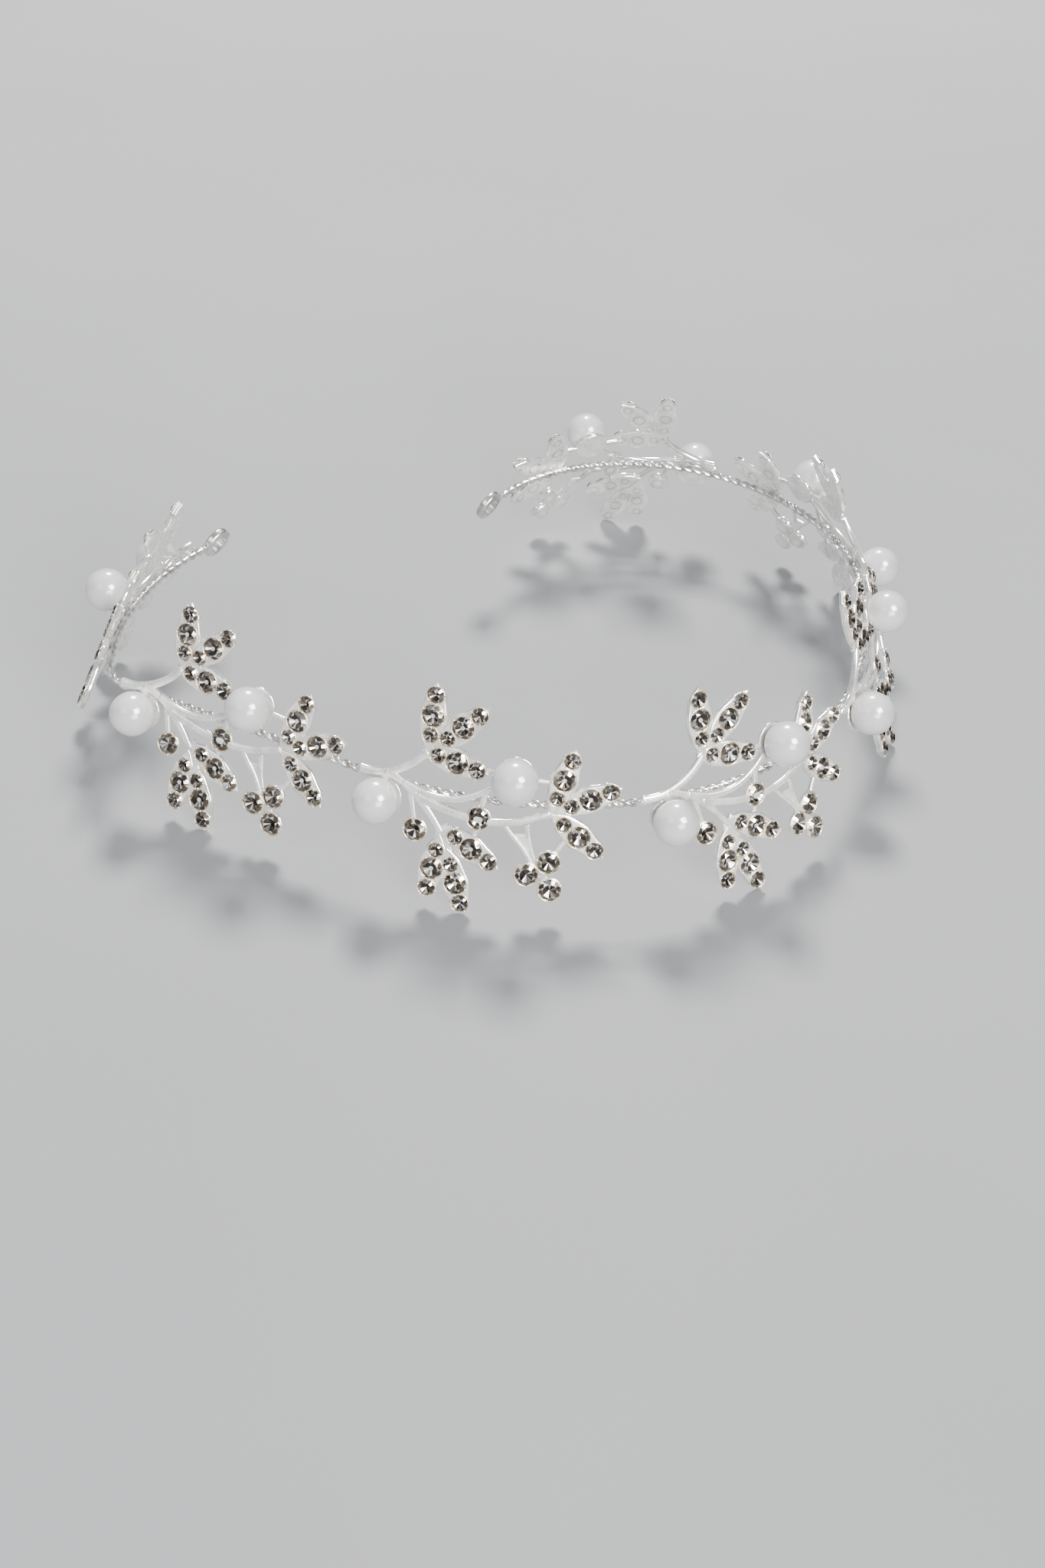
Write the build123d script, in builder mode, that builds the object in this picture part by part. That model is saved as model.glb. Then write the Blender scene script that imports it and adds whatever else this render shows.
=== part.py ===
"""Bridal tiara: seven cast sprig pieces on one bent wire, set with crystals and pearls.

The band is drawn flat first. A place on it is given by three numbers: "along", the
length along the wire from its left end, "up", the height above the wire on the leaning
face of the band, and "out", the distance outwards from that face. The band functions
wrap those places round the bent wire, so every piece follows the wire's shape.
Millimetres and degrees. +Z is up, the middle casting faces -Y, and the finished tiara
stands on Z = 0 with its box centred on the origin.
"""
import os
from math import cos, radians, sin

from build123d import *

# ---------------------------------------------------------------- the band
CASTING_PITCH = 48.0  # wire length from one casting to the next
CASTING_COUNT = 7
# Even bends of the wire, each a share of the pitch and the degrees it turns in that length.
# The bare wire past the first casting is bent sharply.
WIRE_BENDS = ((5 / 6, 40), (1 / 6, 60), (1, 0), (1, 40), (1, 48), (1, 32), (1, 64), (1, 76))
FRONT_BEND = 4  # the bend whose middle faces straight forward
BAND_LEAN = 20.0  # the top of the band leans in over the head
WIRE_D = 1.5
END_LEAD = 3.0  # bare wire past the outer castings
SOLDER_GAP = 0.05  # film of solder between a casting and the wire

# ---------------------------------------------------------------- crystals
LARGE_CRYSTAL_D = 3.8
MEDIUM_CRYSTAL_D = 2.9
SMALL_CRYSTAL_D = 2.6
CRYSTAL_D = {"large": LARGE_CRYSTAL_D, "medium": MEDIUM_CRYSTAL_D, "small": SMALL_CRYSTAL_D}
SEAT_DEPTH = 0.7
SEAT_CLEARANCE = 0.03
GIRDLE_H = 0.62  # above the foot of the crystal
CROWN_H = 0.52  # from the girdle to the flat table
TABLE_SHARE = 0.56  # of the crystal's diameter
FOOT_SHARE = 0.42  # of the crystal's diameter

# ---------------------------------------------------------------- pearls
PEARL_D = 8.0
PEARL_SEAT_D = 0.9 * PEARL_D
PEARL_SEAT_H = 0.9
PEARL_SEAT_LIFT = 0.07  # off the plane of the plates' backs
PEARL_LIFT = 0.1  # from the back of the seat to the pearl
PEG_D = 1.0
PEG_LENGTH = 3.0  # into the pearl
PEG_CLEARANCE = 0.05
PEARL_CLEARANCE = 0.03

# ---------------------------------------------------------------- castings
PLATE_H = 1.2
STEM_AXIS = 0.8  # off the plane of the plates' backs
TWIG_AXIS = 0.62
ROD_LAP = 0.25  # that each straight rod of a stem runs past its ends
CUP_WALL = 0.4  # metal round a crystal outside a leaf
CUP_R = LARGE_CRYSTAL_D / 2 + CUP_WALL
CUP_H = 1.2
CUP_LIFT = 0.04
LEAF_WALL = 0.6  # metal each side of a leaf's large crystal
LEAF_WIDTH = LARGE_CRYSTAL_D + 2 * LEAF_WALL
LARGE_STEP = (SMALL_CRYSTAL_D + LARGE_CRYSTAL_D) / 2 + 0.2  # from a leaf's first crystal
MEDIUM_STEP = LARGE_STEP + (LARGE_CRYSTAL_D + MEDIUM_CRYSTAL_D) / 2 + 0.25
CRYSTAL_STEPS = {"small": 0.0, "large": LARGE_STEP, "medium": MEDIUM_STEP}
LEAF_ROOT = 3.0  # leaf metal behind the first crystal
LEAF_TIP = MEDIUM_STEP + 2.2  # leaf metal past the first crystal
LEAF_RIB_W = 2.2
GUSSET_TOP_W = 3.8
GUSSET_FOOT_W = 1.0
GUSSET_H = 0.8
GUSSET_LIFT = 0.15  # off the plane of the plates' backs
BEAD_D = 2.4

# Centre of each three-leaved sprig, then each leaf as (direction, distance to first crystal).
SPRIGS = {
    "upper": ((11.0, 7.0), ((91, 3.0), (46, 4.2), (-8, 1.8))),
    "lower": ((15.0, -5.6), ((-96, 4.2), (-69, 6.7), (-27, 2.8))),
    "end": ((32.5, -1.0), ((72, 2.9), (23, 3.7), (-39, 2.9))),
}
PEARLS = ((4.4, -2.8), (26.3, 5.1))
LONE_CRYSTALS = ((10.7, -7.0), (20.8, -2.9))
CLUSTER_HEART = (31.6, -12.1)
CLUSTER_SHAPE = ((-1.13, 0.04), (0.43, 1.04), (0.65, -1.09))  # cups from the heart, in cup radii

# Stems, each a diameter and the (along, up) places that it passes through.
STEMS = (
    (1.40, ((-0.3, 0.9), (3.0, 1.3), (6.2, 2.7), (8.9, 4.7), (11.0, 7.0))),  # wire to the upper sprig
    (1.30, ((4.3, 1.9), (8.2, 0.4), (11.0, -1.8), (13.3, -4.2), (15.0, -6.5))),  # to the lower sprig
    (1.20, ((7.6, 0.7), (12.0, -0.4), (16.4, -0.3), (20.2, 1.2), (23.6, 3.6))),  # to the second pearl
    (1.35, ((10.2, -1.1), (14.6, -2.2), (20.6, -3.2), (26.6, -2.9), (32.5, -1.0))),  # to the end sprig
    (1.25, ((4.2, 1.6), (4.5, -1.5))),  # to the first pearl
)
# Twigs, each a diameter and its two ends.
TWIGS = (
    (1.00, ((8.9, 0.0), (10.3, -5.6))),  # first lone crystal
    (0.95, ((21.5, 1.8), (21.0, -1.8))),  # second lone crystal
    (0.80, ((20.7, -4.4), (20.3, -7.0))),  # second lone crystal to the lower sprig
    (1.00, ((33.4, -8.2), (35.4, -5.2))),  # cluster to the end sprig
    (0.75, ((20.0, 5.7), (23.4, 5.3))),  # upper sprig to the second pearl's seat
    (0.70, ((29.3, 4.7), (33.0, 4.4))),  # second pearl's seat to the end sprig
)
GUSSET_TOP = (26.8, -3.4)
GUSSET_FOOT = (30.2, -9.9)

# ---------------------------------------------------------------- end eyes
EYE_BORE_D = 3.6
EYE_OUTER_D = 6.4
EYE_H = 1.5
EYE_ROUNDING = 0.45

CLUSTER_CUPS = [(along * CUP_R, up * CUP_R) for along, up in CLUSTER_SHAPE]
BACK = WIRE_D / 2 + SOLDER_GAP  # "out" of every casting's back
PLATE_FRONT = BACK + PLATE_H
SEAT_FLOOR = PLATE_FRONT - SEAT_DEPTH
STEM_OUT = BACK + STEM_AXIS
TWIG_OUT = BACK + TWIG_AXIS
PEARL_OUT = BACK + PEARL_LIFT + PEARL_D / 2


def wire_step(x, y, heading, turn, length):
    """Follow the wire from one place over a length in which it turns evenly."""
    if turn == 0:
        return x + length * cos(radians(heading)), y + length * sin(radians(heading)), heading
    radius = length / radians(turn)
    end = heading + turn
    x = x + radius * (sin(radians(end)) - sin(radians(heading)))
    y = y - radius * (cos(radians(end)) - cos(radians(heading)))
    return x, y, end


def wire_station(along):
    """Plan position and heading of the wire at a length along it."""
    turned = sum(turn for _, turn in WIRE_BENDS[:FRONT_BEND]) + WIRE_BENDS[FRONT_BEND][1] / 2
    x, y, heading = 0.0, 0.0, -float(turned)
    if along < 0:
        return wire_step(x, y, heading, 0, along)
    for share, turn in WIRE_BENDS:
        length = share * CASTING_PITCH
        if along <= length:
            return wire_step(x, y, heading, turn * along / length, along)
        x, y, heading = wire_step(x, y, heading, turn, length)
        along -= length
    return wire_step(x, y, heading, 0, along)


def band_plane(along, up=0.0, out=0.0):
    """Plane on the band's face: x along the wire, y up the band, z outwards."""
    x, y, heading = wire_station(along)
    tangent = Vector(cos(radians(heading)), sin(radians(heading)), 0)
    outward = Vector(sin(radians(heading)), -cos(radians(heading)), 0)
    face = outward * cos(radians(BAND_LEAN)) + Vector(0, 0, sin(radians(BAND_LEAN)))
    rise = face.cross(tangent)
    place = Vector(x, y, 0) + rise * up + face * out
    return Plane(origin=place, x_dir=tangent, z_dir=face)


def polar(distance, direction):
    """Point at a distance and direction in a sketch."""
    return Vector(distance * cos(radians(direction)), distance * sin(radians(direction)))


def make_rod(start, diameter, places, out):
    """Round rods, lapped end over end, that follow the band through a casting's places."""
    points = [band_plane(start + along, up, out).origin for along, up in places]
    with BuildPart() as rod:
        for begin, finish in zip(points, points[1:]):
            length = (finish - begin).length + 2 * ROD_LAP
            middle = (begin + finish) / 2
            with Locations(Plane(origin=middle, z_dir=finish - begin)):
                Cylinder(diameter / 2, length)
    return rod.part


def make_sprig(leaves):
    """The flat plate of one three-leaved sprig, its centre at the origin."""
    with BuildPart() as sprig:
        with BuildSketch():
            Circle(LEAF_RIB_W / 2)
            for direction, first in leaves:
                root = polar(first - LEAF_ROOT, direction)
                middle = polar(first + (LEAF_TIP - LEAF_ROOT) / 2, direction)
                tip = polar(first + LEAF_TIP, direction)
                bulge = polar(LEAF_WIDTH / 2, direction + 90)
                with BuildLine():
                    ThreePointArc(root, middle + bulge, tip)
                    ThreePointArc(tip, middle - bulge, root)
                make_face()
                with Locations(polar(first / 2, direction)):
                    Rectangle(first, LEAF_RIB_W, rotation=direction)
        extrude(amount=PLATE_H)
    return sprig.part


def make_cluster():
    """The flat plate of the three joined cups, the cluster's heart at the origin."""
    with BuildPart() as cluster:
        with BuildSketch():
            Circle(BEAD_D / 2)
            with Locations(*CLUSTER_CUPS):
                Circle(CUP_R)
        extrude(amount=PLATE_H)
    return cluster.part


def make_gusset():
    """The thin web that carries the cluster, its top edge centred on the origin."""
    side = GUSSET_FOOT[0] - GUSSET_TOP[0]
    drop = GUSSET_FOOT[1] - GUSSET_TOP[1]
    with BuildPart() as gusset:
        with BuildSketch():
            with BuildLine():
                Polyline(
                    (-GUSSET_TOP_W / 2, 0),
                    (GUSSET_TOP_W / 2, 0),
                    (side + GUSSET_FOOT_W / 2, drop),
                    (side - GUSSET_FOOT_W / 2, drop),
                    close=True,
                )
            make_face()
        extrude(amount=GUSSET_H)
    return gusset.part


def crystal_seats(start, size):
    """Planes at the floors of all seats for one size of crystal in one casting."""
    seats = []
    for centre, leaves in SPRIGS.values():
        plate = band_plane(start + centre[0], centre[1], SEAT_FLOOR)
        for direction, first in leaves:
            seat = polar(first + CRYSTAL_STEPS[size], direction)
            seats.append(Plane(plate.from_local_coords(seat), plate.x_dir, plate.z_dir))
    if size == "large":
        seats += [band_plane(start + along, up, SEAT_FLOOR) for along, up in LONE_CRYSTALS]
        plate = band_plane(start + CLUSTER_HEART[0], CLUSTER_HEART[1], SEAT_FLOOR)
        for place in CLUSTER_CUPS:
            seats.append(Plane(plate.from_local_coords(place), plate.x_dir, plate.z_dir))
    return seats


def make_casting(start):
    """One casting: three sprigs, stems, cups, pearl seats with pegs, and crystal seats."""
    cup_backs = [band_plane(start + along, up, BACK + CUP_LIFT) for along, up in LONE_CRYSTALS]
    pearl_backs = [band_plane(start + along, up, BACK + PEARL_SEAT_LIFT) for along, up in PEARLS]
    pearl_centres = [band_plane(start + along, up, PEARL_OUT) for along, up in PEARLS]
    upright = (Align.CENTER, Align.CENTER, Align.MIN)
    with BuildPart() as casting:
        for centre, leaves in SPRIGS.values():
            with Locations(band_plane(start + centre[0], centre[1], BACK)):
                add(make_sprig(leaves))
        for diameter, places in STEMS:
            add(make_rod(start, diameter, places, STEM_OUT))
        for diameter, places in TWIGS:
            add(make_rod(start, diameter, places, TWIG_OUT))
        with Locations(band_plane(start + CLUSTER_HEART[0], CLUSTER_HEART[1], BACK)):
            add(make_cluster())
        with Locations(band_plane(start + GUSSET_TOP[0], GUSSET_TOP[1], BACK + GUSSET_LIFT)):
            add(make_gusset())
        with Locations(*cup_backs):
            Cylinder(CUP_R, CUP_H, align=upright)
        with Locations(*pearl_backs):
            Cylinder(PEARL_SEAT_D / 2, PEARL_SEAT_H, align=upright)
        with Locations(*pearl_centres):
            Sphere(PEARL_D / 2 + PEARL_CLEARANCE, mode=Mode.SUBTRACT)
        with Locations(*pearl_backs):
            Cylinder(PEG_D / 2, PEARL_LIFT + PEG_LENGTH - PEARL_SEAT_LIFT, align=upright)
        for size, diameter in CRYSTAL_D.items():
            with Locations(*crystal_seats(start, size)):
                Cylinder(diameter / 2 + SEAT_CLEARANCE, PLATE_H, align=upright, mode=Mode.SUBTRACT)
    return casting


def make_crystal(diameter):
    """One round-cut crystal standing on its foot at the origin."""
    with BuildPart() as crystal:
        with BuildSketch(Plane.XZ):
            with BuildLine():
                Polyline(
                    (0, 0),
                    (diameter * FOOT_SHARE / 2, 0),
                    (diameter / 2, GIRDLE_H),
                    (diameter * TABLE_SHARE / 2, GIRDLE_H + CROWN_H),
                    (0, GIRDLE_H + CROWN_H),
                    close=True,
                )
            make_face()
        revolve(axis=Axis.Z)
    return crystal.part


def make_crystals(start, size):
    """All crystals of one size in one casting, as separate solids."""
    crystal = make_crystal(CRYSTAL_D[size])
    with BuildPart() as crystals:
        with Locations(*crystal_seats(start, size)):
            add(crystal)
    return crystals


def make_pearl(start, place):
    """One half-drilled pearl on its seat."""
    centre = band_plane(start + place[0], place[1], PEARL_OUT)
    hole_r = PEG_D / 2 + PEG_CLEARANCE
    with BuildPart() as pearl:
        with Locations(centre):
            Sphere(PEARL_D / 2)
        with Locations(band_plane(start + place[0], place[1], BACK)):
            Cylinder(
                hole_r,
                PEARL_LIFT + PEG_LENGTH + PEG_CLEARANCE,
                align=(Align.CENTER, Align.CENTER, Align.MIN),
                mode=Mode.SUBTRACT,
            )
    return pearl


def make_wire():
    """The bent wire that carries every casting."""
    with BuildPart() as wire:
        with BuildLine() as path:
            Line(wire_station(-END_LEAD)[:2], wire_station(0)[:2])
            along = 0
            for share, turn in WIRE_BENDS:
                length = share * CASTING_PITCH
                begin = wire_station(along)[:2]
                middle = wire_station(along + length / 2)[:2]
                finish = wire_station(along + length)[:2]
                if turn == 0:
                    Line(begin, finish)
                else:
                    ThreePointArc(begin, middle, finish)
                along += length
            Line(wire_station(along)[:2], wire_station(along + END_LEAD)[:2])
        with BuildSketch(Plane(origin=path.line @ 0, z_dir=path.line % 0)):
            Circle(WIRE_D / 2)
        sweep(path=path.wires()[0])
    return wire


def make_eye(along, side):
    """A round eye soldered to one end of the wire."""
    centre = band_plane(along + side * (EYE_OUTER_D / 2 + SOLDER_GAP))
    with BuildPart() as eye:
        with BuildSketch(centre.offset(-EYE_H / 2)):
            Circle(EYE_OUTER_D / 2)
            Circle(EYE_BORE_D / 2, mode=Mode.SUBTRACT)
        extrude(amount=EYE_H)
        fillet(eye.edges().filter_by(GeomType.CIRCLE).group_by(SortBy.RADIUS)[-1], EYE_ROUNDING)
    return eye


wire_end = CASTING_COUNT * CASTING_PITCH + END_LEAD
pieces = {"backbone_wire": make_wire()}
pieces["end_eye_left"] = make_eye(-END_LEAD, -1)
pieces["end_eye_right"] = make_eye(wire_end, 1)
for index in range(CASTING_COUNT):
    casting_start = index * CASTING_PITCH
    pieces[f"sprig_casting_{index + 1}"] = make_casting(casting_start)
    for crystal_size in CRYSTAL_D:
        pieces[f"crystals_{crystal_size}_{index + 1}"] = make_crystals(casting_start, crystal_size)
    for pearl_index, pearl_place in enumerate(PEARLS):
        pearl_number = index * len(PEARLS) + pearl_index + 1
        pieces[f"pearl_{pearl_number:02d}"] = make_pearl(casting_start, pearl_place)

# The tiara stands on the floor with its box centred on the origin.
box = pieces["backbone_wire"].part.bounding_box()
for piece in pieces.values():
    box = box.add(piece.part.bounding_box())
stand = Location((-box.center().X, -box.center().Y, -box.min.Z))
os.makedirs("parts", exist_ok=True)
for name, piece in pieces.items():
    piece.part = piece.part.moved(stand)
    piece.part.label = name
    export_step(piece.part, f"parts/{name}.step")
print("moved by", stand.position, "box", box.size)
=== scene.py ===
"""Looks of the bridal tiara: seven stone-set sprig castings and fourteen pearls on a rope wire.

Every place on the band is given as in the solid model: "along" the wire from its left
end, "up" the leaning face of the band, and "out" from that face, all in millimetres. The
Band class wraps those places round the bent wire, and meshes are written in metres.
"""
from __future__ import annotations

import logging
import random
from dataclasses import dataclass, field
from enum import Enum
from math import atan2, cos, pi, radians, sin, sqrt, tau
from typing import Iterable, Sequence

import bpy
from mathutils import Matrix, Vector

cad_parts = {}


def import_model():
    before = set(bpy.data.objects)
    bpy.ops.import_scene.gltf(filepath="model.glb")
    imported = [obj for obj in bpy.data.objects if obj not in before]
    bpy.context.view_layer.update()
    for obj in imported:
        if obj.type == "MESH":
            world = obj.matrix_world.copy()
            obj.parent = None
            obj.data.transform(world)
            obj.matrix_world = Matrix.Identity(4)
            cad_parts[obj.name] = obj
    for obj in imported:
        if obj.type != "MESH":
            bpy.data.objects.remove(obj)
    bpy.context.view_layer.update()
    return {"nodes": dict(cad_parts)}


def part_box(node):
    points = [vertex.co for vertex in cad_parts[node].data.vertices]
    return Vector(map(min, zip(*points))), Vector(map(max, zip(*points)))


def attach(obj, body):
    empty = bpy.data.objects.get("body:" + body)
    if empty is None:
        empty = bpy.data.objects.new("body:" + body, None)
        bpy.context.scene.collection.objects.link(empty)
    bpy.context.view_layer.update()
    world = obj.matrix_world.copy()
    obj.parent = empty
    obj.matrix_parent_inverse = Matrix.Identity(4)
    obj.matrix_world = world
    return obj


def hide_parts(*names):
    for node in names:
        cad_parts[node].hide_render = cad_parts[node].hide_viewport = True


LOG = logging.getLogger("tiara")
METRES = 0.001
BODY = "root"
FACET_PAINTED_REFLECTION = "facet_tone"
# Face attribute with each crystal facet's painted reflection tone.
AIM = Vector((0, 0, 0.02))
SQUARE = ((-1, -1), (1, -1), (1, 1), (-1, 1))
Place = tuple[float, float]
Triple = tuple[float, float, float]
Colour = tuple[float, float, float]
Leaf = tuple[float, float]
Sprig = tuple[Place, tuple[Leaf, ...]]
Bar = tuple[float, tuple[Place, ...]]


class Slot(Enum):
    """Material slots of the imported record."""

    SILVER = "silver_plating"
    WIRE = "wire_plating"
    CRYSTAL = "crystal"
    PEARL = "pearl"


class StoneSize(Enum):
    """The three sizes of crystal, by name."""

    LARGE = "large"
    MEDIUM = "medium"
    SMALL = "small"


# ------------------------------------------------------------------ shader nodes


class Term:
    """One output socket, with arithmetic that adds Math nodes."""

    def __init__(self, paint: Paint, socket: bpy.types.NodeSocket) -> None:
        """Wrap a socket."""
        self.paint = paint
        self.socket = socket

    def _sum(self, operation: str, first: object, second: object) -> Term:
        """Add a Math node."""
        return self.paint.add("ShaderNodeMath", {"operation": operation}, {0: first, 1: second})

    def __add__(self, other: object) -> Term:
        """Self plus other."""
        return self._sum("ADD", self, other)

    def __radd__(self, other: object) -> Term:
        """Other plus self."""
        return self._sum("ADD", other, self)

    def __sub__(self, other: object) -> Term:
        """Self less other."""
        return self._sum("SUBTRACT", self, other)

    def __rsub__(self, other: object) -> Term:
        """Other less self."""
        return self._sum("SUBTRACT", other, self)

    def __mul__(self, other: object) -> Term:
        """Self times other."""
        return self._sum("MULTIPLY", self, other)

    def __rmul__(self, other: object) -> Term:
        """Other times self."""
        return self._sum("MULTIPLY", other, self)


class Paint:
    """A material and the one way that nodes are added to it."""

    def __init__(self, name: str) -> None:
        """Start an empty material.

        Args:
            name: The material's name.
        """
        self.material = bpy.data.materials.new(name)
        self.material.use_nodes = True
        self.tree = self.material.node_tree
        self.tree.nodes.clear()

    def add(
        self,
        kind: str,
        settings: dict[str, object],
        inputs: dict[int | str, object],
        output: int | str = 0,
    ) -> Term:
        """Add a node, set it up, and feed its sockets.

        Args:
            kind: The node's type.
            settings: Its own settings, such as a Math node's operation or a ramp's stops.
            inputs: Values or terms, by socket name or number.
            output: The output that is wanted.

        Returns:
            The wanted output as a term.
        """
        node = self.tree.nodes.new(kind)
        for name, value in settings.items():
            if name == "stops":
                ramp = node.color_ramp
                while len(ramp.elements) < len(value):
                    ramp.elements.new(0.5)
                for element, (place, colour) in zip(ramp.elements, value):
                    element.position = place
                    element.color = (*colour, 1.0)
            else:
                setattr(node, name, value)
        for name, value in inputs.items():
            socket = node.inputs[name]
            if isinstance(value, Term):
                self.tree.links.new(value.socket, socket)
            else:
                socket.default_value = value
        return Term(self, node.outputs[output] if node.outputs else None)

    def place(self) -> Term:
        """Object coordinates, in metres."""
        return self.add("ShaderNodeTexCoord", {}, {}, "Object")

    def noise(self, scale: float, detail: float = 2.0, roughness: float = 0.5) -> Term:
        """A noise in object space.

        Args:
            scale: Cells in a metre.
            detail: Octaves.
            roughness: How strong the finer octaves are.

        Returns:
            The noise, from 0 to 1.
        """
        inputs = {
            "Vector": self.place(),
            "Scale": scale,
            "Detail": detail,
            "Roughness": roughness,
        }
        return self.add("ShaderNodeTexNoise", {"noise_dimensions": "3D"}, inputs)

    def ramp(self, factor: Term, stops: Sequence[tuple[float, Colour]]) -> Term:
        """A colour ramp."""
        return self.add("ShaderNodeValToRGB", {"stops": stops}, {0: factor})

    def blend(self, factor: Term, first: Colour | Term, second: Colour | Term) -> Term:
        """Mix two colours.

        Args:
            factor: 0 for the first, 1 for the second.
            first: A colour or term.
            second: A colour or term.

        Returns:
            The mixed colour.
        """
        pair = [ends if isinstance(ends, Term) else (*ends, 1.0) for ends in (first, second)]
        inputs = {0: factor, 6: pair[0], 7: pair[1]}
        return self.add("ShaderNodeMix", {"data_type": "RGBA"}, inputs, 2)

    def span(self, factor: Term, low: float, high: float) -> Term:
        """Stretch a 0 to 1 term between two numbers."""
        return factor * (high - low) + low

    def bump(self, height: Term, distance: float, strength: float = 1.0) -> Term:
        """A bump for the surface's Normal, so many metres from lowest to highest."""
        inputs = {"Height": height, "Distance": distance, "Strength": strength}
        return self.add("ShaderNodeBump", {}, inputs)

    def surface(self, inputs: dict[str, object]) -> bpy.types.Material:
        """Finish with a Principled surface.

        Args:
            inputs: The surface's sockets.

        Returns:
            The material.
        """
        shader = self.add("ShaderNodeBsdfPrincipled", {}, inputs)
        self.add("ShaderNodeOutputMaterial", {}, {"Surface": shader})
        return self.material


@dataclass(frozen=True)
class SilverFinish:
    """Bright silver plate: a sandy satin cast skin, or polished where it was tumbled."""

    name: str
    colour: Colour
    dull: Colour
    smoothest: float
    roughest: float
    metallic: float
    grain: float = 5200.0
    grain_height: float = 0.00002
    cloud: float = 420.0
    dull_until: float = 0.32
    bright_from: float = 0.62

    def material(self) -> bpy.types.Material:
        """The plate as a material."""
        paint = Paint(self.name)
        grain = paint.noise(self.grain, 3.0, 0.6)
        cloud = paint.noise(self.cloud)
        stops = [(self.dull_until, self.dull), (self.bright_from, self.colour)]
        inputs = {
            "Base Color": paint.ramp(cloud, stops),
            "Metallic": self.metallic,
            "Roughness": paint.span(grain, self.smoothest, self.roughest),
            "Normal": paint.bump(grain, self.grain_height),
        }
        return paint.surface(inputs)


@dataclass(frozen=True)
class CrystalPaintedReflections:
    """Foil-backed crystal coloured facet by facet with painted reflections: smoky dark, amber,
    pale, and painted white glints.
    """

    name: str
    # Ramp colours are painted reflections: smoky dark, amber, pale, and a white painted glint.
    painted_smoky_reflection: Colour = (0.030, 0.023, 0.017)
    painted_amber_reflection: Colour = (0.20, 0.158, 0.112)
    silver: Colour = (0.56, 0.53, 0.49)
    painted_white_glint: Colour = (0.95, 0.95, 0.96)
    drift: float = 900.0
    drift_reach: float = 0.16
    metallic: float = 0.82
    smoothest: float = 0.05
    roughest: float = 0.14
    bend: float = 1.56
    coat: float = 0.7
    coat_roughness: float = 0.03

    def material(self) -> bpy.types.Material:
        """The stones as a material, coloured by painted reflections."""
        paint = Paint(self.name)
        # Each facet's painted reflection tone, nudged by noise, chooses its colour from the ramp.
        facet = paint.add("ShaderNodeAttribute", {"attribute_name": FACET_PAINTED_REFLECTION}, {}, "Fac")
        drift = paint.noise(self.drift, 1.0)
        tone = paint.span(drift, -self.drift_reach, self.drift_reach) + facet
        stops = [(0.14, self.painted_smoky_reflection), (0.50, self.painted_amber_reflection), (0.76, self.silver), (0.94, self.painted_white_glint)]
        inputs = {
            "Base Color": paint.ramp(tone, stops),
            "Metallic": self.metallic,
            "Roughness": paint.span(drift, self.smoothest, self.roughest),
            "IOR": self.bend,
            "Coat Weight": self.coat,
            "Coat Roughness": self.coat_roughness,
        }
        return paint.surface(inputs)


@dataclass(frozen=True)
class PearlFinish:
    """White pearl lacquer with a rosy depth, a fine orange-peel skin and painted grey shade
    towards its edges.
    """

    name: str
    body: Colour = (0.86, 0.845, 0.84)
    rose: Colour = (0.80, 0.76, 0.75)
    # rim: painted shade, the grey that the lacquer turns to towards its edges.
    rim: Colour = (0.50, 0.485, 0.495)
    cloud: float = 160.0
    skin: float = 2600.0
    skin_height: float = 0.000002
    smoothest: float = 0.22
    roughest: float = 0.30
    depth: float = 0.10
    depth_radius: Triple = (0.002, 0.0016, 0.0014)
    coat: float = 0.8
    coat_roughness: float = 0.07
    coat_bend: float = 1.6

    def material(self) -> bpy.types.Material:
        """The lacquer as a material."""
        paint = Paint(self.name)
        painted_rim_shade_mix = paint.add("ShaderNodeLayerWeight", {}, {"Blend": 0.35}, "Facing")
        cloud = paint.noise(self.cloud)
        skin = paint.noise(self.skin)
        depth = paint.blend(cloud, self.rose, self.body)
        inputs = {
            # The base colour greys towards the edges as painted rim shade.
            "Base Color": paint.blend(painted_rim_shade_mix, depth, self.rim),
            "Roughness": paint.span(skin, self.smoothest, self.roughest),
            "Subsurface Weight": self.depth,
            "Subsurface Radius": self.depth_radius,
            "Coat Weight": self.coat,
            "Coat Roughness": self.coat_roughness,
            "Coat IOR": self.coat_bend,
            "Normal": paint.bump(skin, self.skin_height),
        }
        return paint.surface(inputs)


@dataclass(frozen=True)
class FloorFinish:
    """Plain studio paper, or the dull paint of a card."""

    name: str
    light: Colour
    shade: Colour
    cloud: float = 6.0
    tooth: float = 1500.0
    tooth_height: float = 0.00004
    roughness: float = 0.85

    def material(self) -> bpy.types.Material:
        """The paper as a material."""
        paint = Paint(self.name)
        tooth = paint.noise(self.tooth)
        cloud = paint.noise(self.cloud, 3.0)
        inputs = {
            "Base Color": paint.ramp(cloud, [(0.3, self.shade), (0.7, self.light)]),
            "Roughness": self.roughness,
            "Normal": paint.bump(tooth, self.tooth_height, 0.5),
        }
        return paint.surface(inputs)


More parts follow.
